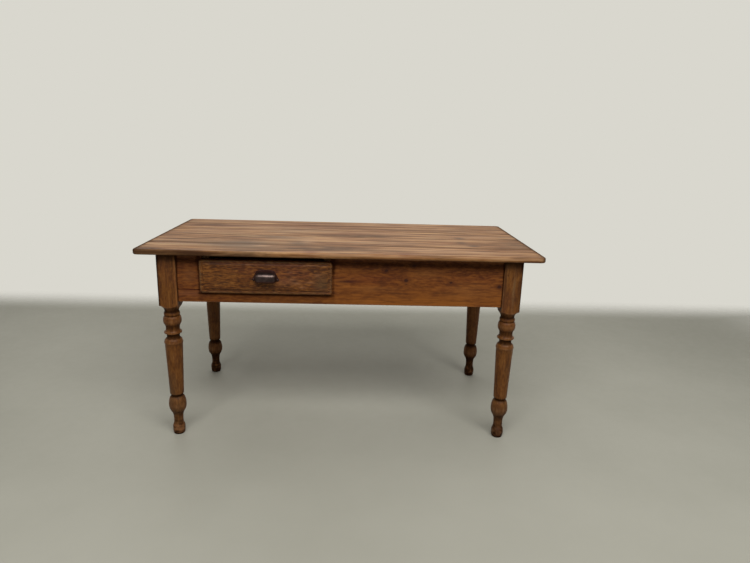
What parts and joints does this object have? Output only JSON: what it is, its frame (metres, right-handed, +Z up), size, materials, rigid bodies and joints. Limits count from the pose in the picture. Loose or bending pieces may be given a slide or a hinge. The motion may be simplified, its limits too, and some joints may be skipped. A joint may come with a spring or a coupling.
{
  "type": "farmhouse table",
  "caption": "Farmhouse kitchen table with a boarded top, turned legs tenoned to deep aprons, and a lipped drawer with a cup pull that slides out of the front apron.",
  "frame": {"origin": "on the floor, under the middle of the top", "axes": "+X along the length to the right seen from the front, +Y from the drawer side to the back, +Z up"},
  "size_m": [1.5, 0.75, 0.76],
  "materials": {
    "top_wood": "old pine, worn satin wax over brown stain",
    "leg_wood": "turned pine, warm brown, dark in the grooves",
    "apron_wood": "pine, warm orange brown, satin",
    "drawer_front_wood": "coarse dark grain, worn edges",
    "drawer_box_wood": "bare pine, aged, unfinished",
    "inner_wood": "bare pine, aged, unfinished",
    "pull_iron": "dark brown patina, half gloss",
    "screw_steel": "dulled steel"
  },
  "bodies": {
    "frame": {"top_board_front": "top_wood", "top_board_front_mid": "top_wood", "top_board_middle": "top_wood", "top_board_back_mid": "top_wood", "top_board_back": "top_wood", "leg_front_left": "leg_wood", "leg_front_right": "leg_wood", "leg_back_left": "leg_wood", "leg_back_right": "leg_wood", "front_apron": "apron_wood", "back_apron": "apron_wood", "side_apron_left": "apron_wood", "side_apron_right": "apron_wood", "tenon_pegs": "apron_wood", "drawer_runner_left": "inner_wood", "drawer_runner_right": "inner_wood", "drawer_guide_left": "inner_wood", "drawer_guide_right": "inner_wood", "drawer_kicker_left": "inner_wood", "drawer_kicker_right": "inner_wood", "top_buttons": "inner_wood", "button_screws": "screw_steel"},
    "drawer": {"drawer_front": "drawer_front_wood", "drawer_side_left": "drawer_box_wood", "drawer_side_right": "drawer_box_wood", "drawer_back": "drawer_box_wood", "drawer_bottom": "drawer_box_wood", "drawer_bottom_nails": "screw_steel", "drawer_pull": "pull_iron", "pull_screws": "pull_iron"}
  },
  "joints": [
    {"name": "drawer_slide", "type": "slide", "parent": "frame", "child": "drawer", "axis": [0, -1, 0], "range_m": [0, 0.36]}
  ]
}
